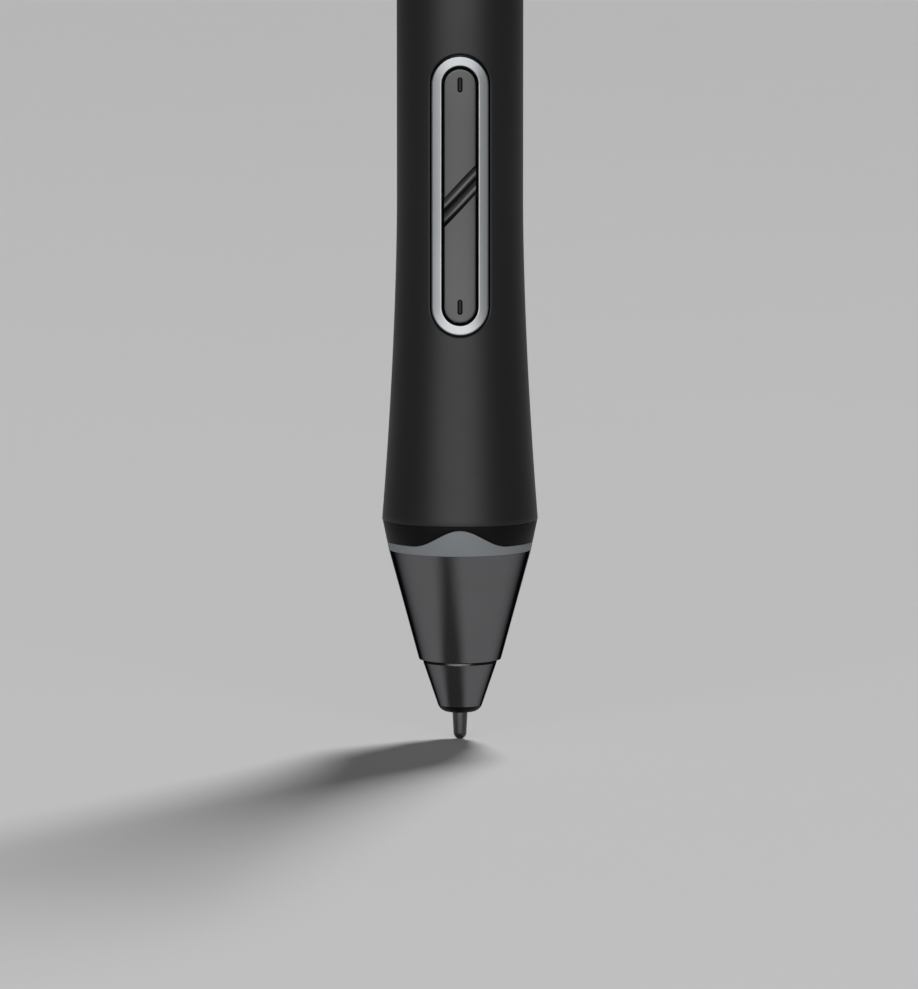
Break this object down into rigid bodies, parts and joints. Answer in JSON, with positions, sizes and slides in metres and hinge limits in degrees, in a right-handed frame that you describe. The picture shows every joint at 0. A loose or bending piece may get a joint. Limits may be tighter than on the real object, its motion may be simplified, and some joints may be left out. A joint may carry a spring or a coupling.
{
  "type": "digital drawing pen",
  "caption": "Digital pen for a drawing tablet: flared soft-touch grip, gloss cone nose with a spring-loaded nib, and a long rocker key in a bright bezel.",
  "frame": {"origin": "the point of the nib, on the pen's axis", "axes": "+Z along the pen from the nib to the tail, -Y out of the rocker key"},
  "size_m": [0.015, 0.015, 0.1602],
  "materials": {
    "soft_black": "matte soft-touch coat",
    "gloss_black": "polished moulding, black chromed",
    "collar_black": "satin moulding",
    "accent_grey": "satin moulding",
    "satin_silver": "satin plated",
    "key_grey": "satin moulding",
    "nib_grey": "matte acetal",
    "carrier_grey": "moulded",
    "holder_white": "moulded",
    "plunger_cream": "moulded",
    "ferrite": "sintered",
    "copper": "enamelled wire",
    "spring_steel": "bright",
    "sensor_can": "matte",
    "board_green": "solder mask",
    "chip_black": "moulded"
  },
  "bodies": {
    "pen": {"nose_tip": "gloss_black", "front_cone": "gloss_black", "accent_ring": "accent_grey", "grip_collar": "collar_black", "grip_barrel": "soft_black", "rear_barrel": "soft_black", "tail_cap": "soft_black", "button_bezel": "satin_silver", "upper_switch": "chip_black", "lower_switch": "chip_black", "carrier": "carrier_grey", "ferrite_core": "ferrite", "coil_winding": "copper", "coil_leads": "copper", "return_spring": "spring_steel", "pressure_sensor": "sensor_can", "circuit_board": "board_green", "board_chips": "chip_black", "board_screws": "spring_steel"},
    "nib_unit": {"nib": "nib_grey", "nib_holder": "holder_white"},
    "rocker": {"rocker_key": "key_grey"},
    "plunger_upper": {"upper_plunger": "plunger_cream"},
    "plunger_lower": {"lower_plunger": "plunger_cream"}
  },
  "joints": [
    {"name": "nib_press", "type": "slide", "parent": "pen", "child": "nib_unit", "axis": [0, 0, 1], "range_m": [0, 0.001], "stiffness_N_per_m": 1500, "springref_m": -0.0003, "deforming": ["return_spring"]},
    {"name": "rocker_tilt", "type": "hinge", "parent": "pen", "child": "rocker", "pos_m": [0, -0.0045, 0.05285], "axis": [1, 0, 0], "range_deg": [-1.5, 1.5], "stiffness_Nm_per_rad": 0.1},
    {"name": "lower_plunger_push", "type": "slide", "parent": "pen", "child": "plunger_lower", "axis": [0, 1, 0], "range_m": [-0.0003, 0.0003]},
    {"name": "upper_plunger_push", "type": "slide", "parent": "pen", "child": "plunger_upper", "axis": [0, 1, 0], "range_m": [-0.0003, 0.0003]}
  ],
  "couplings": [
    {"joint": "lower_plunger_push", "follows": "rocker_tilt", "m_per_rad": 0.009},
    {"joint": "upper_plunger_push", "follows": "rocker_tilt", "m_per_rad": -0.009}
  ]
}
